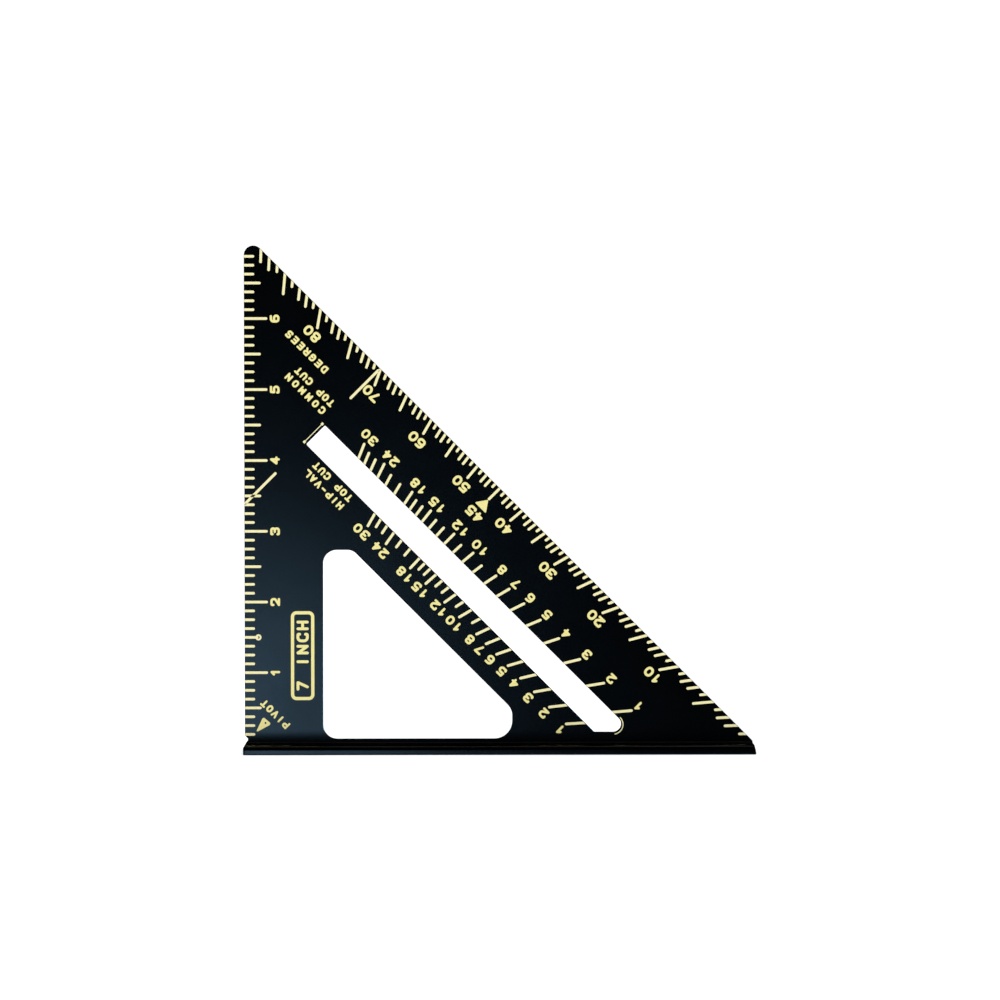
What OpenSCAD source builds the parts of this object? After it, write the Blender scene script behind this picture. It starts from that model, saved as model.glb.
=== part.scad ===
// Seven-inch rafter square: a flat triangular blade standing on a T-shaped fence,
// with painted scales. It stands on its fence, the marked face looks along -Y,
// and the origin is under the middle of the fence.

/* [Triangle] */
// Where the hypotenuse line would meet the ruler edge and the zero line
leg = 183.3; // [175:0.1:190]
// Thickness of the blade
blade_t = 3.2; // [2.5:0.1:5]
// Radius of the rounded tip between ruler edge and hypotenuse
tip_r = 3.4; // [2:0.1:5]
// Height of the relief notch at the pivot corner
notch_h = 2.8; // [2.4:0.1:4]
// Depth of the relief notch at the pivot corner
notch_d = 1.1; // [0.5:0.1:1.5]

/* [Fence] */
// How far the fence's end stands out past the ruler edge
fence_out = 0.2; // [0:0.05:0.5]
// How far the heel leans in from the fence's base to its top
heel_draft = 0.7; // [0.4:0.1:1.5]
// Full width of the fence, both lips and the blade between them
fence_w = 22; // [18:0.5:30]
// Thickness of the lips
fence_t = 3.4; // [2.8:0.1:5]
// Radius of the fence's upper long edges
fence_top_r = 1.8; // [0.4:0.1:2]
// Radius of the fence's lower long edges
fence_base_r = 0.5; // [0.3:0.1:1]
// Radius of the fence's upright corners
fence_corner_r = 0.8; // [0.5:0.1:3]
// Radius of the inside corner between blade and lip
root_r = 1; // [0.6:0.1:3]

/* [Window] */
// Distance from the ruler edge to the window
window_u = 28.1; // [24:0.1:32]
// Distance from the ruler edge to the window's short upright side at its right end
window_end = 96.1; // [92:0.1:98]
// Height of the window's flat top above the zero line
window_top = 69.5; // [60:0.1:72]
// Height of the window's sill above the zero line
window_sill = 1.3; // [0.4:0.1:2]
// Depth of the window's slanted side below the hypotenuse
window_depth = 53.1; // [50:0.1:56]
// Radius of the window's upper right corner
window_top_r = 4.3; // [2:0.1:5]
// Radius of the window's upper left corner
window_shoulder_r = 5; // [2:0.1:6]
// Radius of the window's lower left corner
window_left_r = 5.0; // [2:0.1:8]
// Radius of the corner above the window's short upright side
window_end_r = 6; // [3:0.1:8]
// Radius of the window's lower right corner
window_right_r = 6.4; // [4:0.1:7]

/* [Slot] */
// Depth of the slot's upper side below the hypotenuse
slot_near = 28.4; // [27:0.1:30]
// Depth of the slot's lower side below the hypotenuse
slot_far = 38.1; // [36:0.1:40]
// Where the line of the slot's square end meets the ruler edge
slot_at = 85.3; // [80:0.1:90]
// Height of the slot's level end above the zero line
slot_foot = 3.7; // [3.2:0.1:6]
// Radius of the slot's sharp lower corner
slot_r = 2.9; // [0.5:0.1:4]

/* [Marks] */
// Thickness of the paint
ink = 0.1; // [0.05:0.01:0.2]
// Width of a scale line
line_w = 0.95; // [0.6:0.05:1.2]
// Height of a numeral
digit_h = 3.8; // [3:0.1:4.2]
// Width of a numeral
digit_w = 3.15; // [2.4:0.05:3.4]
// Stroke width of a numeral
digit_stroke = 0.9; // [0.6:0.05:1]
// Distance between the two digits of a numeral
digit_pitch = 3.55; // [3.3:0.05:4]
// Height of a capital letter
letter_h = 2.8; // [2.4:0.1:3.2]
// Width of a capital letter
letter_w = 2.2; // [1.8:0.05:2.6]
// Stroke width of a capital letter
letter_stroke = 0.72; // [0.4:0.02:0.8]

/* [Hidden] */

inch = 25.4;
eighth = inch / 8;
black = "#16181c";
gold = "#f0df8a";
middle_u = (leg - fence_out) / 2;       // middle of the fence, where the origin is
heel_u = leg - heel_draft;              // upper end of the heel
end_r = notch_d + fence_out;            // the fence's rounded end runs out at the notch's foot
edge_gap = 0.12;        // bare rim between a scale line and the edge it starts from
hair = 0.01;            // half width of the centre lines that strokes grow from
arc_step = 30;          // turn between two points of a bent stroke, in degrees
cap_fn = 12;            // sides of a stroke's round end
round_fn = 48;          // sides of a round corner where it is drawn as facets
slant = 135;            // direction in which the slanted numerals and words read
run = 12;               // common rafter run that the top-cut scale counts on
hip_run = 17;           // hip rafter run for the same 12 of common run

// ---------------------------------------------------------------- geometry

function unit(v) = v / norm(v);
function dir(a) = [cos(a), sin(a)];

// Points of the corner b, rounded to radius r, between its neighbours a and c
function corner(a, b, c, r) =
  r == 0 ? [b] :
  let (
    ua = unit(a - b),
    uc = unit(c - b),
    half = acos(max(-1, min(1, ua * uc))) / 2,
    t = min(r / tan(half), 0.499 * norm(a - b), 0.499 * norm(c - b)),
    rr = t * tan(half),
    centre = b + unit(ua + uc) * rr / sin(half),
    from = b + ua * t - centre,
    to = b + uc * t - centre,
    start = atan2(from.y, from.x),
    swing = atan2(to.y, to.x) - start,
    turn = swing > 180 ? swing - 360 : swing < -180 ? swing + 360 : swing,
    steps = max(2, ceil(abs(turn) / arc_step * max(1, sqrt(rr / 2))))
  )
  [for (i = [0:steps]) centre + rr * dir(start + turn * i / steps)];

// A closed line from points [x, y, radius]
function rounded(pts) = [
  for (i = [0:len(pts) - 1])
    let (n = len(pts), a = pts[(i + n - 1) % n], b = pts[i], c = pts[(i + 1) % n])
    each corner([a.x, a.y], [b.x, b.y], [c.x, c.y], b.z)
];

// An open line from points [x, y, radius]
function bent(pts) = [
  for (i = [0:len(pts) - 1])
    let (b = pts[i])
    each (i == 0 || i == len(pts) - 1
      ? [[b.x, b.y]]
      : corner([pts[i-1].x, pts[i-1].y], [b.x, b.y], [pts[i+1].x, pts[i+1].y], b.z))
];

// How a circle of radius b.z fits the corner b: [first touching point, centre, last one]
function fitted(a, b, c) =
  let (
    at = [b.x, b.y],
    ua = unit([a.x, a.y] - at),
    uc = unit([c.x, c.y] - at),
    half = acos(ua * uc) / 2,
    t = b.z / tan(half)
  )
  [at + ua * t, at + unit(ua + uc) * b.z / sin(half), at + uc * t];

// A convex outline from points [x, y, radius], its rounded corners true arcs
module outline(pts) {
  n = len(pts);
  fits = [for (i = [0:n - 1]) fitted(pts[(i + n - 1) % n], pts[i], pts[(i + 1) % n])];
  polygon([for (i = [0:n - 1]) each (pts[i].z == 0 ? [fits[i][0]] : [fits[i][0], fits[i][2]])]);
  for (i = [0:n - 1]) if (pts[i].z > 0)
    translate(fits[i][1]) circle(r = pts[i].z, $fn = round_fn);
}

// The sum u + v along the line that lies a depth below the hypotenuse
function level(depth) = leg - depth * sqrt(2);

// Where the ray from the pivot at angle a, moved sideways by s, meets a depth
function on_ray(a, depth, s = 0) =
  let (t = (level(depth) - s * (cos(a) - sin(a))) / (cos(a) + sin(a)))
  t * dir(a) + s * dir(a + 90);

// Where the square line v - u = at meets a depth
function on_square(at, depth) = [(level(depth) - at) / 2, (level(depth) + at) / 2];

// A ray's scale line, cut along the edge it starts from and round at its other end
function ray_tick(a, from, to, w = line_w) =
  let (
    inward = to > from ? 1 : -1,
    end = on_ray(a, to) + inward * w / 2 * dir(a),
    first = inward > 0 ? a + 90 : a - 90,
    steps = 6
  )
  concat(
    [on_ray(a, from, -inward * w / 2), on_ray(a, from, inward * w / 2)],
    [for (i = [0:steps]) end + w / 2 * dir(first + i * 180 / steps)]
  );

// A level scale line from the ruler edge, round at its inner end
function edge_tick(v, length, w = line_w) =
  let (steps = 6, end = [length - w / 2, v])
  concat(
    [[edge_gap, v + w / 2], [edge_gap, v - w / 2]],
    [for (i = [0:steps]) end + w / 2 * dir(-90 + i * 180 / steps)]
  );

// ---------------------------------------------------------------- placing

// Turns the drawing plane (u right along the fence, v up from the zero line) upright
module upright(y, thickness) {
  translate([-middle_u, y, fence_t]) rotate([90, 0, 0])
    linear_extrude(thickness) children();
}

module front_ink() {
  color(gold) upright(-blade_t / 2, ink) children();
}

// The same for the back, where u runs the other way for the reader
module rear_ink() {
  color(gold) upright(blade_t / 2 + ink, ink) children();
}

// ---------------------------------------------------------------- lettering

// Centre lines of one character in a box of 1 by 1: [closed, points [x, y, radius]]
function glyph(c) =
  c == "0" || c == "O" ? [[true, [[0,0,.5], [1,0,.5], [1,1,.5], [0,1,.5]]]] :
  c == "1" ? [[false, [[.2,.7,0], [.6,1,0], [.6,0,0]]]] :
  c == "2" ? [[false, [[0,.75,0], [0,1,.4], [1,1,.5], [1,.5,.3], [0,0,0], [1,0,0]]]] :
  c == "3" ? [[false, [[0,.85,0], [0,1,.3], [1,1,.4], [1,.54,.3], [.4,.54,0]]],
              [false, [[.4,.54,0], [1,.54,.3], [1,0,.45], [0,0,.4], [0,.17,0]]]] :
  c == "4" ? [[false, [[.7,0,0], [.7,1,0], [0,.3,0], [1,.3,0]]]] :
  c == "5" ? [[false, [[.95,1,0], [.1,1,0], [.05,.58,0], [1,.62,.4], [1,0,.5],
                       [0,0,.4], [0,.16,0]]]] :
  c == "6" ? [[true, [[0,0,.5], [1,0,.5], [1,.58,.45], [0,.58,.45]]],
              [false, [[0,.3,0], [0,1,.5], [.9,1,0]]]] :
  c == "7" ? [[false, [[0,1,0], [1,1,0], [.35,0,0]]]] :
  c == "8" ? [[true, [[0,0,.45], [1,0,.45], [1,.53,.4], [0,.53,.4]]],
              [true, [[.07,.53,.4], [.93,.53,.4], [.93,1,.4], [.07,1,.4]]]] :
  c == "9" ? [for (s = glyph("6")) [s[0], [for (p = s[1]) [1 - p.x, 1 - p.y, p.z]]]] :
  c == "A" ? [[false, [[0,0,0], [.5,1,0], [1,0,0]]], [false, [[.2,.33,0], [.8,.33,0]]]] :
  c == "C" ? [[false, [[1,.8,0], [1,1,.5], [0,1,.5], [0,0,.5], [1,0,.5], [1,.2,0]]]] :
  c == "D" ? [[true, [[0,0,0], [1,0,.5], [1,1,.5], [0,1,0]]]] :
  c == "E" ? [[false, [[1,1,0], [0,1,0], [0,0,0], [1,0,0]]],
              [false, [[0,.5,0], [.85,.5,0]]]] :
  c == "G" ? [[false, [[1,.8,0], [1,1,.5], [0,1,.5], [0,0,.5], [1,0,.4], [1,.45,0],
                       [.55,.45,0]]]] :
  c == "H" ? [[false, [[0,0,0], [0,1,0]]], [false, [[1,0,0], [1,1,0]]],
              [false, [[0,.5,0], [1,.5,0]]]] :
  c == "I" ? [[false, [[.5,0,0], [.5,1,0]]]] :
  c == "L" ? [[false, [[0,1,0], [0,0,0], [1,0,0]]]] :
  c == "M" ? [[false, [[0,0,0], [0,1,0], [.5,.3,0], [1,1,0], [1,0,0]]]] :
  c == "N" ? [[false, [[0,0,0], [0,1,0], [1,0,0], [1,1,0]]]] :
  c == "P" ? [[false, [[0,0,0], [0,1,0], [1,1,.4], [1,.45,.4], [0,.45,0]]]] :
  c == "R" ? concat(glyph("P"), [[false, [[.45,.45,0], [1,0,0]]]]) :
  c == "S" ? [[false, [[1,.86,0], [1,1,.35], [0,1,.4], [0,.52,.35], [1,.5,.35],
                       [1,0,.4], [0,0,.35], [0,.14,0]]]] :
  c == "T" ? [[false, [[0,1,0], [1,1,0]]], [false, [[.5,1,0], [.5,0,0]]]] :
  c == "U" ? [[false, [[0,1,0], [0,0,.5], [1,0,.5], [1,1,0]]]] :
  c == "V" ? [[false, [[0,1,0], [.5,0,0], [1,1,0]]]] :
  c == "-" ? [[false, [[.1,.5,0], [.9,.5,0]]]] :
  [];

// The hair lines that join a list of points
module hair_line(points, closed = false) {
  last = len(points) - (closed ? 1 : 2);
  for (i = [0:last]) {
    a = points[i];
    b = points[(i + 1) % len(points)];
    side = hair * unit([a.y - b.y, b.x - a.x]);
    polygon([a + side, a - side, b - side, b + side]);
  }
}

// A line of characters centred on the origin, drawn with round strokes
module lettering(words, w, h, stroke, pitch) {
  box = [w - stroke, h - stroke];
  offset(r = stroke / 2 - hair, $fn = cap_fn)
    for (i = [0:len(words) - 1])
      for (s = glyph(words[i])) {
        shift = [(i - (len(words) - 1) / 2) * pitch - box.x / 2, -box.y / 2];
        scaled = [for (p = s[1]) [shift.x + p.x * box.x, shift.y + p.y * box.y, p.z * box.x]];
        hair_line(s[0] ? rounded(scaled) : bent(scaled), s[0]);
      }
}

module number_at(place, n, turn = slant, size = 1) {
  translate(place) rotate(turn)
    lettering(str(n), size * digit_w, size * digit_h, size * digit_stroke, digit_pitch);
}

module word_at(place, words, pitch, turn = slant) {
  translate(place) rotate(turn)
    lettering(words, letter_w, letter_h, letter_stroke, pitch);
}

// ---------------------------------------------------------------- blade and fence

window_sum = level(window_depth);

module window_outline() {
  outline([
    [window_u, window_sill, window_left_r],
    [window_end, window_sill, window_right_r],
    [window_end, window_sum - window_end, window_end_r],
    [window_sum - window_top, window_top, window_top_r],
    [window_u, window_top, window_shoulder_r]
  ]);
}

module slot_outline() {
  near_end = on_square(slot_at, slot_near);
  far_end = on_square(slot_at, slot_far);
  outline([
    [near_end.x, near_end.y, 0.5],
    [far_end.x, far_end.y, 0.5],
    [level(slot_far) - slot_foot, slot_foot, 0.4],
    [level(slot_near) - slot_foot, slot_foot, slot_r]
  ]);
}

module notch_outline() {
  polygon([[-1, 0], [notch_d, 0], [notch_d, notch_h - notch_d], [0, notch_h], [-1, notch_h]]);
}

module blade() {
  color(black) upright(blade_t / 2, blade_t) difference() {
    outline([
      [0, 0, 0],
      [heel_u, 0, 0],
      [heel_u, leg - heel_u, 0],
      [0, leg, tip_r]
    ]);
    window_outline();
    slot_outline();
    notch_outline();
  }
}

// The fence's cross-section, seen along X
module fence_section() {
  outline([
    [-fence_w / 2, 0, fence_base_r],
    [fence_w / 2, 0, fence_base_r],
    [fence_w / 2, fence_t, fence_top_r],
    [-fence_w / 2, fence_t, fence_top_r]
  ]);
}

// The inside corner between the blade's face and the lip, seen along X
module root_section() {
  difference() {
    translate([blade_t / 2, fence_t]) square(root_r);
    translate([blade_t / 2 + root_r, fence_t + root_r]) circle(r = root_r, $fn = round_fn);
  }
}

module along_fence() {
  rotate([90, 0, 90]) translate([0, 0, -leg]) linear_extrude(2 * leg) children();
}

// The fence seen from above
module fence_plan() {
  x = leg - middle_u;
  y = fence_w / 2;
  outline([
    [-x, -y, fence_corner_r],
    [x, -y, fence_corner_r],
    [x, y, fence_corner_r],
    [-x, y, fence_corner_r]
  ]);
}

// The fence seen square to the blade: round at the pivot end, leaning in at the heel
module fence_elevation() {
  outline([
    [-fence_out, -fence_t, fence_base_r],
    [leg, -fence_t, fence_base_r],
    [heel_u, 0, 0],
    [-fence_out, 0, end_r]
  ]);
}

// What the inside corners keep clear of
module root_limits() {
  window_outline();
  notch_outline();
  polygon([
    [heel_u, 0], [leg + 1, 0], [leg + 1, root_r + 1],
    [leg - root_r - 1, root_r + 1], [heel_u, leg - heel_u]
  ]);
}

module fence() {
  reach = 2 * fence_w;
  color(black) {
    intersection() {
      along_fence() fence_section();
      linear_extrude(reach) fence_plan();
      upright(reach / 2, reach) fence_elevation();
    }
    difference() {
      intersection() {
        for (side = [0, 1]) mirror([0, side, 0]) along_fence() root_section();
        linear_extrude(reach) fence_plan();
      }
      upright(reach / 2, reach) root_limits();
    }
  }
}

// ---------------------------------------------------------------- inch scale

edge_count = 55;         // the last eighth before the tip
eighth_line = 3.75;
half_line = 6.05;
inch_line = 8.4;
ring_at = 1.5 * inch;    // the half inch that carries a ring: the thickness of a joist
ring_r = 1.1;
inch_numeral_u = 11;
small = 0.92;            // size of the straight and rafter scales' numerals

function edge_length(i) =
  i * eighth == ring_at ? half_line - ring_r :
  i % 8 == 0 ? inch_line :
  i % 4 == 0 ? half_line : eighth_line;

module inch_ticks() {
  front_ink() {
    for (i = [1:edge_count]) polygon(edge_tick(i * eighth, edge_length(i)));
    translate([half_line - ring_r, ring_at]) difference() {
      circle(r = ring_r, $fn = 32);
      circle(r = 0.4 * ring_r, $fn = 32);
    }
  }
}

module inch_numerals() {
  front_ink() for (n = [1:6]) number_at([inch_numeral_u, n * inch], n, 90, small);
}

// ---------------------------------------------------------------- degree scale

degree_last = 88;
five_line = 6.0;
two_line = 3.6;
one_line = 2.0;
degree_numeral = 8.9;    // depth of the numerals' centres below the hypotenuse
inward = dir(225);       // square to the hypotenuse, into the blade

function degree_length(a) =
  a % 5 == 0 ? five_line :
  a % 5 == 2 || a % 5 == 3 ? two_line : one_line;

module degree_ticks() {
  front_ink() for (a = [1:degree_last]) polygon(ray_tick(a, edge_gap, degree_length(a)));
}

// The 70 stands clear of the square line, the others a little above their lines' middles
function nudge(a) = a == 70 ? [1, -0.55] : a == 80 ? [0.2, 0.4] : [-0.05, 0.2];

module degree_numerals() {
  front_ink() {
    for (a = [10:10:80])
      number_at(on_ray(a, five_line) + (degree_numeral - five_line) * inward + nudge(a), a);
    number_at(on_ray(45, 13), 45);
  }
}

module degree_label() {
  front_ink() word_at([22.5, 140.5], "DEGREES", 2.95);
}

// A filled head under the 45 degree line, pointing out to the hypotenuse
module angle_45_pointer() {
  apex = on_ray(45, five_line - 0.1);
  base = on_ray(45, 10);
  side = dir(135) * 2.85;
  front_ink() outline([
    [apex.x, apex.y, 0.3],
    [base.x + side.x, base.y + side.y, 0.3],
    [base.x - side.x, base.y - side.y, 0.3]
  ]);
}

// ---------------------------------------------------------------- rafter scales

rises = [1, 2, 3, 4, 5, 6, 7, 8, 9, 10, 11, 12, 13, 14, 15, 16, 17, 18,
  20, 22, 24, 26, 28, 30];
numbered = [1, 2, 3, 4, 5, 6, 7, 8, 10, 12, 15, 18, 24, 30];

function is_numbered(n) = len(search(n, numbered)) > 0;

// Lines for every rise along one side of the slot
module rise_ticks(run, edge, long, short) {
  front_ink() for (n = rises)
    polygon(ray_tick(atan(n / run), edge, is_numbered(n) ? long : short));
}

// The numerals beside the lines, each moved down the scale by its own shift
module rise_numerals(run, line_end, centre, shift) {
  front_ink() for (i = [0:len(numbered) - 1])
    number_at(on_ray(atan(numbered[i] / run), line_end) + (centre - line_end) * inward
      + shift[i] * dir(-45), numbered[i], size = small);
}

common_edge = slot_near - edge_gap;
common_long = 22.8;
common_short = 23.9;
common_numeral = 20.2;
// How far each numeral stands down the scale from its line
common_shift = [.3, .5, .3, .35, .15, 0, .25, -.1, .4, .25, .25, .25, .35, -.2];

module common_ticks() {
  rise_ticks(run, common_edge, common_long, common_short);
}

module common_numerals() {
  rise_numerals(run, common_long, common_numeral, common_shift);
}

module common_label() {
  front_ink() {
    word_at([22, 125.5], "COMMON", 3.35);
    word_at([25.3, 128], "TOP CUT", 2.72);
  }
}

hip_edge = slot_far + edge_gap;
hip_long = 43.5;
hip_short = 41.7;
hip_numeral = 46.15;
hip_shift = [.25, .4, .15, -.1, 0, -.1, 0, -.2, .35, .15, .2, .2, 0, -.3];

module hip_valley_ticks() {
  rise_ticks(hip_run, hip_edge, hip_long, hip_short);
}

module hip_valley_numerals() {
  rise_numerals(hip_run, hip_long, hip_numeral, hip_shift);
}

module hip_valley_label() {
  front_ink() {
    word_at([28.5, 91.2], "HIP-VAL", 2.72);
    word_at([31.7, 94], "TOP CUT", 2.72);
  }
}

// ---------------------------------------------------------------- other marks

square_at = 85.8;                // where the square line meets the ruler edge
square_line_l = [15.6, 13.9];    // its length from the ruler edge, and from the hypotenuse

// The line square to the hypotenuse: drawn in from each edge, open in the middle
module square_lines() {
  side = line_w / 2 * dir(135);
  front_ink() {
    for (s = [0, 1]) {
      edge = s == 0 ? [edge_gap, square_at + edge_gap] : on_square(square_at, edge_gap + 0.9);
      end = edge + (s == 0 ? 1 : -1) * square_line_l[s] * dir(45);
      offset(r = line_w / 2 - hair, $fn = cap_fn)
        hair_line([edge + (s == 0 ? 1 : 0) * line_w / 2 * dir(45), end]);
    }
  }
}

frame_gap = 1.4;         // from the slot's square end to the fine line above it
fine_w = 0.3;
end_arc_gap = 0.42;      // from the slot's sharp corner to the fine arc round it
end_arc_w = 0.35;

// Fine lines that frame the slot's two ends
module slot_end_lines() {
  high = slot_at + frame_gap;
  near_end = on_square(high, slot_near + 0.3);
  far_end = on_square(high, slot_far - 0.3);
  foot_centre = [level(slot_near) - slot_foot - slot_r * (1 + sqrt(2)), slot_foot + slot_r];
  arc_r = slot_r + end_arc_gap + end_arc_w / 2;
  front_ink() {
    offset(r = fine_w / 2 - hair, $fn = cap_fn) hair_line([far_end, near_end]);
    for (p = [near_end, far_end]) translate(p) rotate(45) square([0.9, 0.9], center = true);
    offset(r = end_arc_w / 2 - hair, $fn = cap_fn) hair_line([
      for (a = [-80:12.5:45]) foot_centre + arc_r * dir(a)
    ]);
  }
}

module pivot_arrow() {
  front_ink() difference() {
    polygon(rounded([[3.9, 3.8, 0.3], [6.6, 9.5, 0.6], [9.6, 6.9, 0.6]]));
    translate([7.4, 7.3]) circle(r = 0.35, $fn = 24);
  }
}

module pivot_label() {
  front_ink() word_at([10.9, 10.5], "PIVOT", 2.7);
}

plate_middle = [20.8, 31.5];
plate_size = [8.4, 32];
plate_rim = 1.15;
plate_r = 2;

module plate_outline(inset) {
  x = plate_size.x / 2 - inset;
  y = plate_size.y / 2 - inset;
  r = plate_r - inset;
  outline([[-x, -y, r], [x, -y, r], [x, y, r], [-x, y, r]]);
}

// A plain frame round the size of the square
module size_plate() {
  front_ink() translate(plate_middle) {
    difference() {
      plate_outline(0);
      plate_outline(plate_rim);
    }
    rotate(90) lettering("7 INCH", 3.4, 4.4, 1.0, 4.35);
  }
}

// ---------------------------------------------------------------- back

module rear_inch_ticks() {
  rear_ink() for (i = [1:edge_count]) polygon(edge_tick(i * eighth, i % 8 == 0 ? inch_line :
    i % 4 == 0 ? half_line : eighth_line));
}

module rear_inch_numerals() {
  rear_ink() for (n = [1:6]) translate([inch_numeral_u, n * inch]) mirror([1, 0])
    number_at([0, 0], n, 90, small);
}

blade();
fence();
inch_ticks();
inch_numerals();
degree_ticks();
degree_numerals();
degree_label();
angle_45_pointer();
common_ticks();
common_numerals();
common_label();
hip_valley_ticks();
hip_valley_numerals();
hip_valley_label();
square_lines();
slot_end_lines();
pivot_arrow();
pivot_label();
size_plate();
rear_inch_ticks();
rear_inch_numerals();
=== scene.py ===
"""A seven-inch rafter square in black coat with painted scales, on a pale studio floor."""

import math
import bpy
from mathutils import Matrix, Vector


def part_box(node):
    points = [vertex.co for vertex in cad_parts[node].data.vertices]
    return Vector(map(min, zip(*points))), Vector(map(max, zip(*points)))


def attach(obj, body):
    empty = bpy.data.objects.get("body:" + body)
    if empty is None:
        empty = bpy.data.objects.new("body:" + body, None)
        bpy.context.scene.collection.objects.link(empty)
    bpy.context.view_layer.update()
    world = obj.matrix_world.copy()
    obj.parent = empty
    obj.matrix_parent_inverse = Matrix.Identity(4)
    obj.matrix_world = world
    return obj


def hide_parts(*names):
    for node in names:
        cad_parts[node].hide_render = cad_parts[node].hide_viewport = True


bl_info = {
    "name": "Rafter Square",
    "version": (1, 0, 0),
    "blender": (4, 5, 0),
    "location": "View3D > Sidebar > Rafter Square",
    "description": "Finishes the parts of a rafter square and sets up its studio",
    "category": "Object",
}

import bmesh
import bpy
from bpy.props import FloatProperty, FloatVectorProperty, IntProperty, PointerProperty
from bpy.types import Operator, Panel, PropertyGroup
from mathutils import Vector

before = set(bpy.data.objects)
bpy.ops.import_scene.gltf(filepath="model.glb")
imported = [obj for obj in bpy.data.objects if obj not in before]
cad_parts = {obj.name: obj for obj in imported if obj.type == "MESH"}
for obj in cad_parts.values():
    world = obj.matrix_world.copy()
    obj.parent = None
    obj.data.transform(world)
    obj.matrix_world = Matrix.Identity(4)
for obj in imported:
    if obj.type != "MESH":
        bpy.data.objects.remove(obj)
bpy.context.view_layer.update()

MM = 0.001
WELD = 0.0005 * MM                  # corners closer than this are one corner
SAME_PLACE = 0.002 * MM             # tolerance when edges are picked by their place
SAME_PLANE = math.radians(0.5)      # triangles that meet below this are one flat face
SHARP = math.radians(40)            # a fold above this is an edge of the part
SMOOTH = math.radians(35)           # facets that meet below this are shaded as one curve
FILM_RIM_STEPS = 2                  # facets across the rounded rim of a film of paint

BLADE_LOW, BLADE_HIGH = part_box("blade")
BLADE_FOOT = BLADE_LOW.z            # where the blade stands on the fence
BLADE_BACK = BLADE_HIGH.y           # how far the blade's faces are from its middle plane
ROOT_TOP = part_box("fence")[1].z     # where the rounded inside corners end on the blade

NOISE_LOW, NOISE_HIGH = 0.3, 0.7    # nearly all of a noise texture lies between these
FINE_RIPPLES = 5.0                  # fine ripples across one ripple of a sprayed film
FINE_SHARE = 0.25                   # how much of the film's height the fine ripples make
RUB_LOW, RUB_HIGH = 0.42, 0.68      # noise where an edge starts to be rubbed, and is bare
COAT_SWING = 0.015                  # how far the coat's roughness wanders to either side
PAINT_SWING = 0.06                  # how far the paint's roughness wanders to either side
THIN_PAINT = (0.93, 0.88, 0.78)     # share of each colour left where the paint is thinnest


# ---------------------------------------------------------------- settings


class MetalSettings(PropertyGroup):
    """How the casting's edges are broken."""

    blade_edge: FloatProperty(
        name="Blade edge", description="Radius of the blade's edges",
        default=0.35 * MM, min=0.05 * MM, max=0.6 * MM, subtype="DISTANCE", unit="LENGTH")
    fence_edge: FloatProperty(
        name="Fence edge", description="Radius of the fence's short edges",
        default=0.22 * MM, min=0.05 * MM, max=0.4 * MM, subtype="DISTANCE", unit="LENGTH")
    edge_steps: IntProperty(
        name="Edge steps", description="Facets across a rounded edge",
        default=4, min=1, max=8)
    swell_height: FloatProperty(
        name="Swell height", description="How high above the fence the blade starts to thicken",
        default=5.0 * MM, min=1.5 * MM, max=10 * MM, subtype="DISTANCE", unit="LENGTH")
    swell_radius: FloatProperty(
        name="Swell radius", description="Radius of the gentle curve by which the blade thickens",
        default=43 * MM, min=10 * MM, max=200 * MM, subtype="DISTANCE", unit="LENGTH")
    swell_steps: IntProperty(
        name="Swell steps", description="Facets up the gentle curve",
        default=8, min=3, max=16)


class CoatSettings(PropertyGroup):
    """The black coat on the casting."""

    colour: FloatVectorProperty(
        name="Colour", description="Colour of the coat", subtype="COLOR", size=4,
        default=(0.0003, 0.0003, 0.0005, 1.0), min=0.0, max=1.0)
    rubbed_colour: FloatVectorProperty(
        name="Rubbed colour", description="Colour where handling has polished the edges",
        subtype="COLOR", size=4, default=(0.006, 0.0065, 0.008, 1.0), min=0.0, max=1.0)
    roughness: FloatProperty(
        name="Roughness", description="Roughness of the flat faces",
        default=0.19, min=0.05, max=0.8, subtype="FACTOR")
    grain_size: FloatProperty(
        name="Grain size", description="Width of one ripple in the coat",
        default=1.1 * MM, min=0.2 * MM, max=5 * MM, subtype="DISTANCE", unit="LENGTH")
    grain_depth: FloatProperty(
        name="Grain depth", description="Height of a ripple in the coat",
        default=0.004 * MM, min=0.0, max=0.05 * MM, subtype="DISTANCE", unit="LENGTH")


class PaintSettings(PropertyGroup):
    """The paint of the scales."""

    line_colour: FloatVectorProperty(
        name="Line colour", description="Colour of the scale lines", subtype="COLOR", size=4,
        default=(0.85, 0.81, 0.46, 1.0), min=0.0, max=1.0)
    figure_colour: FloatVectorProperty(
        name="Figure colour", description="Colour of numerals and words", subtype="COLOR",
        size=4, default=(0.82, 0.765, 0.31, 1.0), min=0.0, max=1.0)
    rim: FloatProperty(
        name="Rim", description="Radius of the film's outer edge",
        default=0.04 * MM, min=0.005 * MM, max=0.08 * MM, subtype="DISTANCE", unit="LENGTH")
    roughness: FloatProperty(
        name="Roughness", description="Roughness of the paint",
        default=0.5, min=0.1, max=1.0, subtype="FACTOR")
    grain_size: FloatProperty(
        name="Grain size", description="Width of one fleck in the paint",
        default=0.5 * MM, min=0.1 * MM, max=3 * MM, subtype="DISTANCE", unit="LENGTH")
    grain_depth: FloatProperty(
        name="Grain depth", description="Height of a fleck in the paint",
        default=0.004 * MM, min=0.0, max=0.03 * MM, subtype="DISTANCE", unit="LENGTH")


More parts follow.
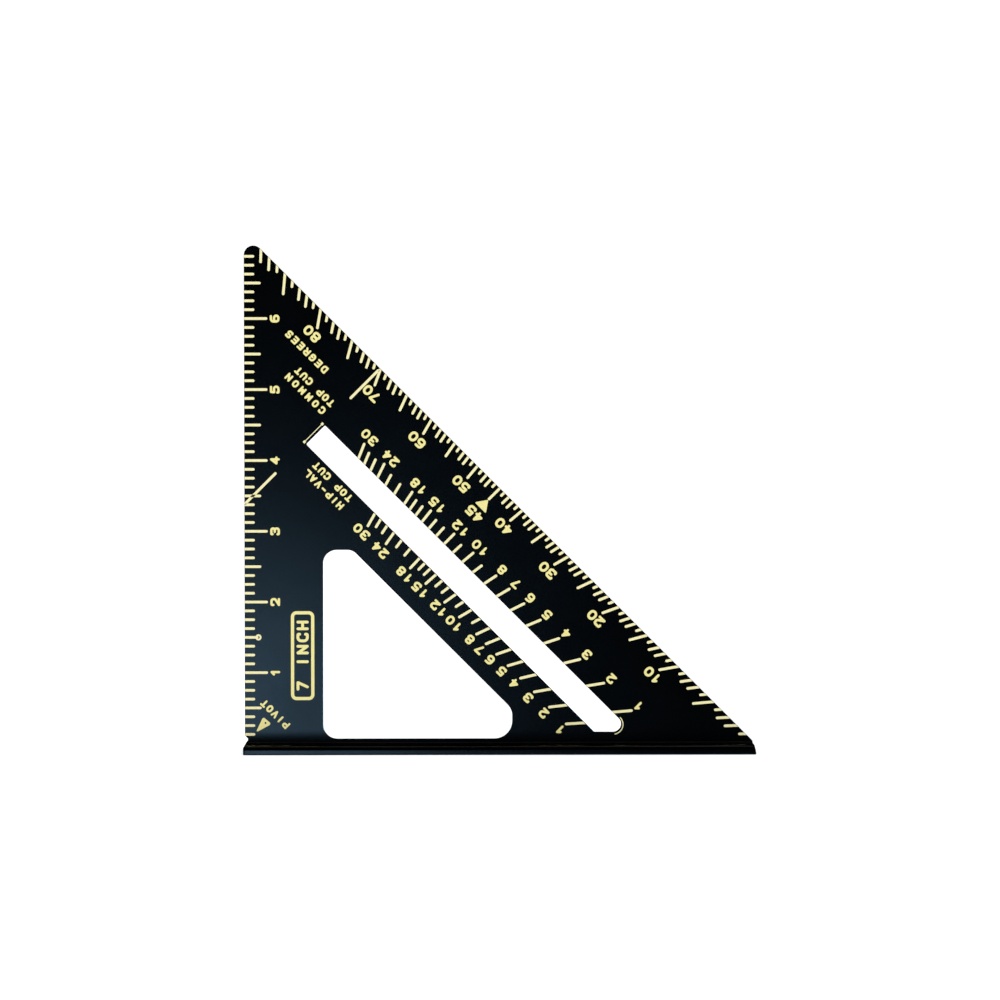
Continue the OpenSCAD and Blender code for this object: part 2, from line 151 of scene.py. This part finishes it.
class StudioSettings(PropertyGroup):
    """Camera, floor and lights."""

    lens: FloatProperty(
        name="Lens", description="Focal length on a 36 mm sensor, in millimetres",
        default=123.8, min=20, max=300)
    camera_place: FloatVectorProperty(
        name="Camera", description="Where the camera stands", subtype="TRANSLATION",
        default=(-0.0157, -1.2347, 0.1322))
    camera_down: FloatProperty(
        name="Camera down", description="How far the camera looks down",
        default=math.radians(1.923), subtype="ANGLE")
    camera_right: FloatProperty(
        name="Camera right", description="How far the camera looks to the right",
        default=math.radians(0.735), subtype="ANGLE")
    floor_size: FloatProperty(
        name="Floor size", description="Side of the floor",
        default=12.0, min=1, max=50, subtype="DISTANCE", unit="LENGTH")
    floor_colour: FloatVectorProperty(
        name="Floor colour", description="Colour of the floor", subtype="COLOR", size=4,
        default=(0.85, 0.85, 0.85, 1.0), min=0.0, max=1.0)
    floor_glow: FloatProperty(
        name="Floor glow", description="Light that the floor gives of its own, against shadows",
        default=0.35, min=0.0, max=2.0)
    sky: FloatProperty(
        name="Sky", description="Strength of the even light from all round",
        default=1.12, min=0.0, max=5.0)


# ---------------------------------------------------------------- mesh tools


def only(piece):
    """Selects one object alone and makes it the active one."""
    bpy.ops.object.select_all(action="DESELECT")
    piece.select_set(True)
    bpy.context.view_layer.objects.active = piece


def skin_of(node, name):
    """A new piece with a CAD node's shape, its loose triangles welded into whole faces."""
    piece = bpy.data.objects.new(name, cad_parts[node].data.copy())
    bpy.context.scene.collection.objects.link(piece)
    piece.data.materials.clear()
    only(piece)
    bpy.ops.mesh.customdata_custom_splitnormals_clear()
    bpy.ops.object.mode_set(mode="EDIT")
    bpy.ops.mesh.select_all(action="SELECT")
    bpy.ops.mesh.remove_doubles(threshold=WELD)
    bpy.ops.mesh.dissolve_limited(angle_limit=SAME_PLANE)
    bpy.ops.object.mode_set(mode="OBJECT")
    return piece


def cut_level(piece, height):
    """Adds a ring of edges round the piece at a height."""
    only(piece)
    bpy.ops.object.mode_set(mode="EDIT")
    bpy.ops.mesh.select_all(action="SELECT")
    bpy.ops.mesh.bisect(plane_co=(0, 0, height), plane_no=(0, 0, 1))
    bpy.ops.object.mode_set(mode="OBJECT")


def thicken_root(piece, height, radius, steps):
    """Thickens the piece in a gentle curve from a height above the fence down to its root."""
    top, root = BLADE_FOOT + height, ROOT_TOP
    for step in range(steps + 1):
        cut_level(piece, root + (top - root) * step / steps)
    for corner in piece.data.vertices:
        below = top - corner.co.z
        if below > 0:
            corner.co.y += math.copysign(below * below / (2 * radius), corner.co.y)


def round_edges(piece, wanted, radius, steps):
    """Rounds the edges that wanted picks, and marks the new faces as rim."""
    only(piece)
    bpy.ops.object.mode_set(mode="EDIT")
    bpy.ops.mesh.select_mode(type="EDGE")
    bpy.ops.mesh.select_all(action="DESELECT")
    shape = bmesh.from_edit_mesh(piece.data)
    for edge in shape.edges:
        if edge.is_manifold and edge.calc_face_angle() > SHARP and wanted(edge):
            edge.select_set(True)
    bmesh.update_edit_mesh(piece.data)
    bpy.ops.mesh.bevel(offset=radius, segments=steps, affect="EDGES", clamp_overlap=True)
    bpy.ops.object.mode_set(mode="OBJECT")
    rim = piece.data.attributes.new("rim", "FLOAT", "FACE")
    rim.data.foreach_set("value", [float(face.select) for face in piece.data.polygons])


def shade(piece):
    """Shades curves as curves and keeps flat faces flat."""
    only(piece)
    bpy.ops.object.shade_smooth_by_angle(angle=SMOOTH)
    flat = piece.modifiers.new("flat faces", "WEIGHTED_NORMAL")
    flat.keep_sharp = True
    bpy.ops.object.modifier_apply(modifier=flat.name)


def finish_piece(piece, material, node):
    """Gives a piece its material and its place in the frame."""
    piece.data.materials.append(material)
    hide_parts(node)
    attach(piece, "root")


def finish_mark(node, material):
    """A film of paint over a CAD mark, its outer rim rounded."""
    paint = bpy.context.scene.square_paint
    low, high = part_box(node)
    outer = low.y if abs(low.y) > abs(high.y) else high.y
    film = skin_of(node, "painted_" + node)

    def on_outer_face(edge):
        return all(abs(corner.co.y - outer) < SAME_PLACE for corner in edge.verts)

    round_edges(film, on_outer_face, paint.rim, FILM_RIM_STEPS)
    shade(film)
    finish_piece(film, material, node)


# ---------------------------------------------------------------- materials


def add(tree, kind, links=(), **values):
    """Adds a node, sets its inputs by name, and joins (output, input name) pairs."""
    made = tree.nodes.new(kind)
    for name, value in values.items():
        socket = made.inputs.get(name.replace("_", " "))
        if socket is not None:
            socket.default_value = value
        else:
            setattr(made, name, value)
    for output, name in links:
        tree.links.new(output, made.inputs[name])
    return made


def new_group(name, inputs, outputs):
    """An empty shader node group with named sockets, and its input and output nodes."""
    group = bpy.data.node_groups.new(name, "ShaderNodeTree")
    for title, kind, default in inputs:
        socket = group.interface.new_socket(title, in_out="INPUT", socket_type=kind)
        if default is not None:
            socket.default_value = default
    for title, kind in outputs:
        group.interface.new_socket(title, in_out="OUTPUT", socket_type=kind)
    return group, group.nodes.new("NodeGroupInput"), group.nodes.new("NodeGroupOutput")


def grain_group():
    """Ripples and flecks of a sprayed film: a height and a slow mottle, both from 0 to 1."""
    found = bpy.data.node_groups.get("Sprayed Grain")
    if found:
        return found
    group, start, end = new_group(
        "Sprayed Grain",
        [("Place", "NodeSocketVector", None), ("Ripples per Metre", "NodeSocketFloat", 900.0)],
        [("Height", "NodeSocketFloat"), ("Mottle", "NodeSocketFloat")])
    place, pitch = start.outputs["Place"], start.outputs["Ripples per Metre"]
    ripple = add(group, "ShaderNodeTexNoise", [(place, "Vector"), (pitch, "Scale")],
                 Detail=1.5, Roughness=0.4)
    fine_pitch = add(group, "ShaderNodeMath", [(pitch, 0)], operation="MULTIPLY")
    fine_pitch.inputs[1].default_value = FINE_RIPPLES
    fine = add(group, "ShaderNodeTexNoise",
               [(place, "Vector"), (fine_pitch.outputs[0], "Scale")], Detail=1.0)
    height = add(group, "ShaderNodeMix", [(ripple.outputs["Fac"], 2), (fine.outputs["Fac"], 3)],
                 Factor=FINE_SHARE)
    mottle = add(group, "ShaderNodeTexNoise", [(place, "Vector")],
                 Scale=38.0, Detail=4.0, Roughness=0.6)
    group.links.new(height.outputs[0], end.inputs["Height"])
    group.links.new(mottle.outputs["Fac"], end.inputs["Mottle"])
    return group


def rub_group():
    """A mask of where hands and boards have rubbed the edges, broken up by noise."""
    found = bpy.data.node_groups.get("Edge Rub")
    if found:
        return found
    group, start, end = new_group(
        "Edge Rub",
        [("Place", "NodeSocketVector", None), ("Rim", "NodeSocketFloat", 0.0),
         ("Patches per Metre", "NodeSocketFloat", 120.0)],
        [("Mask", "NodeSocketFloat")])
    patches = add(group, "ShaderNodeTexNoise",
                  [(start.outputs["Place"], "Vector"),
                   (start.outputs["Patches per Metre"], "Scale")], Detail=5.0, Roughness=0.65)
    worn = add(group, "ShaderNodeMapRange", [(patches.outputs["Fac"], "Value")])
    worn.inputs["From Min"].default_value = RUB_LOW
    worn.inputs["From Max"].default_value = RUB_HIGH
    mask = add(group, "ShaderNodeMath",
               [(worn.outputs[0], 0), (start.outputs["Rim"], 1)], operation="MULTIPLY")
    group.links.new(mask.outputs[0], end.inputs["Mask"])
    return group


def place_group(tree, group, links, **values):
    """Puts a node group into a material."""
    made = tree.nodes.new("ShaderNodeGroup")
    made.node_tree = group
    for name, value in values.items():
        made.inputs[name.replace("_", " ")].default_value = value
    for output, name in links:
        tree.links.new(output, made.inputs[name])
    return made


def new_material(name):
    """A material with its shader, and the object coordinates that its patterns read."""
    material = bpy.data.materials.new(name)
    material.use_nodes = True
    tree = material.node_tree
    place = tree.nodes.new("ShaderNodeTexCoord").outputs["Object"]
    return material, tree, tree.nodes["Principled BSDF"], place


def mixed_colour(tree, factor, first, second):
    """A blend of two colours by a factor."""
    mix = tree.nodes.new("ShaderNodeMix")
    mix.data_type = "RGBA"
    colours = [socket for socket in mix.inputs if socket.type == "RGBA"]
    colours[0].default_value, colours[1].default_value = first, second
    tree.links.new(factor, mix.inputs["Factor"])
    return next(socket for socket in mix.outputs if socket.type == "RGBA")


def spread(tree, value, low, high):
    """Stretches a noise value to run from low to high."""
    ranged = add(tree, "ShaderNodeMapRange", [(value, "Value")])
    ranged.inputs["From Min"].default_value = NOISE_LOW
    ranged.inputs["From Max"].default_value = NOISE_HIGH
    ranged.inputs["To Min"].default_value = low
    ranged.inputs["To Max"].default_value = high
    return ranged.outputs[0]


def bumped(tree, shader, height, depth):
    """Feeds a height to the shader's normal."""
    bump = add(tree, "ShaderNodeBump", [(height, "Height")], Distance=depth)
    tree.links.new(bump.outputs["Normal"], shader.inputs["Normal"])


def black_coat():
    """Smooth black coat: nearly mirror-black, with a faint ripple and polished edges."""
    found = bpy.data.materials.get("black coat")
    if found:
        return found
    coat = bpy.context.scene.square_coat
    material, tree, shader, place = new_material("black coat")
    grain = place_group(tree, grain_group(), [(place, "Place")],
                        Ripples_per_Metre=1 / coat.grain_size)
    rim = add(tree, "ShaderNodeAttribute")
    rim.attribute_name = "rim"
    rub = place_group(tree, rub_group(), [(place, "Place"), (rim.outputs["Fac"], "Rim")])
    colour = mixed_colour(tree, rub.outputs["Mask"], coat.colour, coat.rubbed_colour)
    tree.links.new(colour, shader.inputs["Base Color"])
    rough = spread(tree, grain.outputs["Mottle"],
                   coat.roughness - COAT_SWING, coat.roughness + COAT_SWING)
    tree.links.new(rough, shader.inputs["Roughness"])
    shader.inputs["IOR"].default_value = 1.5
    bumped(tree, shader, grain.outputs["Height"], coat.grain_depth)
    return material


def scale_paint(name, colour):
    """Screened paint: an even pale gold, a little thinner in places."""
    found = bpy.data.materials.get(name)
    if found:
        return found
    paint = bpy.context.scene.square_paint
    material, tree, shader, place = new_material(name)
    grain = place_group(tree, grain_group(), [(place, "Place")],
                        Ripples_per_Metre=1 / paint.grain_size)
    thin = [share * value for share, value in zip(THIN_PAINT, colour)] + [1.0]
    density = spread(tree, grain.outputs["Height"], 1.0, 0.0)
    tree.links.new(mixed_colour(tree, density, colour, thin), shader.inputs["Base Color"])
    rough = spread(tree, grain.outputs["Mottle"],
                   paint.roughness - PAINT_SWING, paint.roughness + PAINT_SWING)
    tree.links.new(rough, shader.inputs["Roughness"])
    bumped(tree, shader, grain.outputs["Height"], paint.grain_depth)
    return material


def line_paint():
    return scale_paint("line paint", bpy.context.scene.square_paint.line_colour)


def figure_paint():
    return scale_paint("figure paint", bpy.context.scene.square_paint.figure_colour)


# ---------------------------------------------------------------- casting


class SQUARE_OT_blade(Operator):
    """Finishes the triangular blade, with rounded edges round its outline, window and slot"""

    bl_idname = "rafter_square.blade"
    bl_label = "Blade"

    def execute(self, context):
        metal = context.scene.square_metal
        blade = skin_of("blade", "coated_blade")
        thicken_root(blade, metal.swell_height, metal.swell_radius, metal.swell_steps)

        def clear_of_fence(edge):
            return all(corner.co.z > ROOT_TOP - SAME_PLACE for corner in edge.verts)

        round_edges(blade, clear_of_fence, metal.blade_edge, metal.edge_steps)
        shade(blade)
        finish_piece(blade, black_coat(), "blade")
        return {"FINISHED"}


class SQUARE_OT_fence(Operator):
    """Finishes the fence, with its short edges rounded where the blade doesn't meet it"""

    bl_idname = "rafter_square.fence"
    bl_label = "Fence"

    def execute(self, context):
        metal = context.scene.square_metal
        fence = skin_of("fence", "coated_fence")

        def clear_of_blade(edge):
            return all(abs(corner.co.y) > BLADE_BACK + SAME_PLACE for corner in edge.verts)

        round_edges(fence, clear_of_blade, metal.fence_edge, metal.edge_steps)
        shade(fence)
        finish_piece(fence, black_coat(), "fence")
        return {"FINISHED"}


# ---------------------------------------------------------------- scales


class SQUARE_OT_inch_scale(Operator):
    """Paints the inch scale along the ruler edge"""

    bl_idname = "rafter_square.inch_scale"
    bl_label = "Inch Scale"

    def execute(self, context):
        finish_mark("inch_ticks", line_paint())
        finish_mark("inch_numerals", figure_paint())
        return {"FINISHED"}


class SQUARE_OT_degree_scale(Operator):
    """Paints the degree scale along the hypotenuse, its label and the 45 degree pointer"""

    bl_idname = "rafter_square.degree_scale"
    bl_label = "Degree Scale"

    def execute(self, context):
        finish_mark("degree_ticks", line_paint())
        for node in ("degree_numerals", "degree_label", "angle_45_pointer"):
            finish_mark(node, figure_paint())
        return {"FINISHED"}


class SQUARE_OT_common_scale(Operator):
    """Paints the common rafter scale above the slot"""

    bl_idname = "rafter_square.common_scale"
    bl_label = "Common Rafter Scale"

    def execute(self, context):
        finish_mark("common_ticks", line_paint())
        finish_mark("common_numerals", figure_paint())
        finish_mark("common_label", figure_paint())
        return {"FINISHED"}


class SQUARE_OT_hip_valley_scale(Operator):
    """Paints the hip and valley rafter scale below the slot"""

    bl_idname = "rafter_square.hip_valley_scale"
    bl_label = "Hip and Valley Scale"

    def execute(self, context):
        finish_mark("hip_valley_ticks", line_paint())
        finish_mark("hip_valley_numerals", figure_paint())
        finish_mark("hip_valley_label", figure_paint())
        return {"FINISHED"}


class SQUARE_OT_guide_lines(Operator):
    """Paints the line square to the hypotenuse and the fine lines at the slot's ends"""

    bl_idname = "rafter_square.guide_lines"
    bl_label = "Guide Lines"

    def execute(self, context):
        finish_mark("square_lines", line_paint())
        finish_mark("slot_end_lines", line_paint())
        return {"FINISHED"}


class SQUARE_OT_pivot_mark(Operator):
    """Paints the arrow and the word at the pivot corner"""

    bl_idname = "rafter_square.pivot_mark"
    bl_label = "Pivot Mark"

    def execute(self, context):
        finish_mark("pivot_arrow", figure_paint())
        finish_mark("pivot_label", figure_paint())
        return {"FINISHED"}


class SQUARE_OT_size_plate(Operator):
    """Paints the frame with the size of the square"""

    bl_idname = "rafter_square.size_plate"
    bl_label = "Size Plate"

    def execute(self, context):
        finish_mark("size_plate", figure_paint())
        return {"FINISHED"}


class SQUARE_OT_rear_scale(Operator):
    """Paints the inch scale on the back"""

    bl_idname = "rafter_square.rear_scale"
    bl_label = "Rear Inch Scale"

    def execute(self, context):
        finish_mark("rear_inch_ticks", line_paint())
        finish_mark("rear_inch_numerals", figure_paint())
        return {"FINISHED"}


# ---------------------------------------------------------------- stage


BLUE, WHITE = (0.37, 0.69, 1.0), (1.0, 1.0, 1.0)
LIGHTS = (
    # name, place, aimed at, width, height, brightness, colour
    ("front card", (-0.215, -1.60, -0.165), (-0.08, 0, 0.02), 0.27, 0.29, 2.8, BLUE),
    ("back card", (0.215, 1.60, -0.165), (0.08, 0, 0.02), 0.27, 0.29, 2.8, BLUE),
    ("left front card", (-1.30, -1.30, 0.10), (0, 0, 0.06), 0.60, 1.20, 1.7, BLUE),
    ("right front card", (1.30, -1.30, 0.10), (0, 0, 0.06), 0.60, 1.20, 1.7, BLUE),
    ("left back card", (-1.30, 1.30, 0.10), (0, 0, 0.06), 0.60, 1.20, 1.7, BLUE),
    ("right back card", (1.30, 1.30, 0.10), (0, 0, 0.06), 0.60, 1.20, 1.7, BLUE),
    ("low front card", (0, -1.10, -1.05), (0, 0, 0.06), 2.60, 1.00, 0.8, BLUE),
    ("low back card", (0, 1.10, -1.05), (0, 0, 0.06), 2.60, 1.00, 0.8, BLUE),
    ("left strip", (-1.70, 0.10, 0.50), (0, 0, 0.06), 0.35, 1.60, 1.5, WHITE),
    ("right strip", (1.70, 0.10, 0.50), (0, 0, 0.06), 0.35, 1.60, 1.5, WHITE),
    ("overhead box", (0, 0.20, 1.90), (0, 0, 0), 1.40, 1.00, 0.25, WHITE),
)


def add_light(name, place, target, width, height, brightness, colour):
    """Adds a soft oval light that shows only in the coat's gloss."""
    direction = Vector(target) - Vector(place)
    bpy.ops.object.light_add(type="AREA", location=place,
                             rotation=direction.to_track_quat("-Z", "Y").to_euler())
    light = bpy.context.object
    light.name = name
    light.data.shape = "ELLIPSE"
    light.data.size = width
    light.data.size_y = height
    light.data.energy = brightness * math.pi * (math.pi * width * height / 4)
    light.data.color = colour
    light.visible_camera = False
    light.visible_diffuse = False


def add_floor(studio):
    """Adds the pale floor, which doesn't show in the coat's gloss."""
    bpy.ops.mesh.primitive_plane_add(size=studio.floor_size)
    floor = bpy.context.object
    floor.name = "studio_floor"
    material, _, shader, _ = new_material("floor")
    shader.inputs["Base Color"].default_value = studio.floor_colour
    shader.inputs["Roughness"].default_value = 1.0
    shader.inputs["Specular IOR Level"].default_value = 0.0
    shader.inputs["Emission Color"].default_value = (1, 1, 1, 1)
    shader.inputs["Emission Strength"].default_value = studio.floor_glow
    floor.data.materials.append(material)
    floor.visible_glossy = False
    floor.visible_shadow = False


def add_sky(studio):
    """Even white light from all round, which doesn't show in the coat's gloss."""
    sky = bpy.data.worlds.new("studio sky")
    sky.use_nodes = True
    background = sky.node_tree.nodes["Background"]
    background.inputs["Color"].default_value = (1, 1, 1, 1)
    background.inputs["Strength"].default_value = studio.sky
    bpy.context.scene.world = sky
    sky.cycles_visibility.glossy = False


class SQUARE_OT_stage(Operator):
    """Adds the floor, the lights and the camera"""

    bl_idname = "rafter_square.stage"
    bl_label = "Stage"

    def execute(self, context):
        studio = context.scene.square_studio
        context.scene.view_settings.view_transform = "Standard"
        add_floor(studio)
        add_sky(studio)
        for light in LIGHTS:
            add_light(*light)
        bpy.ops.object.camera_add(
            location=studio.camera_place,
            rotation=(math.pi / 2 - studio.camera_down, 0, -studio.camera_right))
        camera = context.object
        camera.data.lens = studio.lens
        camera.data.clip_start, camera.data.clip_end = 0.01, 100
        context.scene.camera = camera
        return {"FINISHED"}


# ---------------------------------------------------------------- add-on


class SQUARE_PT_panel(Panel):
    """Lists the settings and the steps that finish the square"""

    bl_label = "Rafter Square"
    bl_idname = "SQUARE_PT_panel"
    bl_space_type = "VIEW_3D"
    bl_region_type = "UI"
    bl_category = "Rafter Square"

    def draw(self, context):
        for settings in SETTINGS:
            box = self.layout.box()
            group = getattr(context.scene, settings)
            for name in group.bl_rna.properties.keys():
                if name not in {"rna_type", "name"}:
                    box.prop(group, name)
        for step in STEPS:
            self.layout.operator(step.bl_idname)


SETTINGS = {
    "square_metal": MetalSettings,
    "square_coat": CoatSettings,
    "square_paint": PaintSettings,
    "square_studio": StudioSettings,
}
STEPS = (
    SQUARE_OT_blade, SQUARE_OT_fence, SQUARE_OT_inch_scale, SQUARE_OT_degree_scale,
    SQUARE_OT_common_scale, SQUARE_OT_hip_valley_scale, SQUARE_OT_guide_lines,
    SQUARE_OT_pivot_mark, SQUARE_OT_size_plate, SQUARE_OT_rear_scale, SQUARE_OT_stage,
)
CLASSES = (*SETTINGS.values(), *STEPS, SQUARE_PT_panel)


def register():
    for cls in CLASSES:
        bpy.utils.register_class(cls)
    for name, group in SETTINGS.items():
        setattr(bpy.types.Scene, name, PointerProperty(type=group))


def unregister():
    for name in SETTINGS:
        delattr(bpy.types.Scene, name)
    for cls in reversed(CLASSES):
        bpy.utils.unregister_class(cls)


def main():
    register()
    bpy.ops.object.select_all(action="DESELECT")
    bpy.ops.rafter_square.blade()
    bpy.ops.rafter_square.fence()
    bpy.ops.rafter_square.inch_scale()
    bpy.ops.rafter_square.degree_scale()
    bpy.ops.rafter_square.common_scale()
    bpy.ops.rafter_square.hip_valley_scale()
    bpy.ops.rafter_square.guide_lines()
    bpy.ops.rafter_square.pivot_mark()
    bpy.ops.rafter_square.size_plate()
    bpy.ops.rafter_square.rear_scale()
    bpy.ops.rafter_square.stage()


if __name__ == "__main__":
    main()
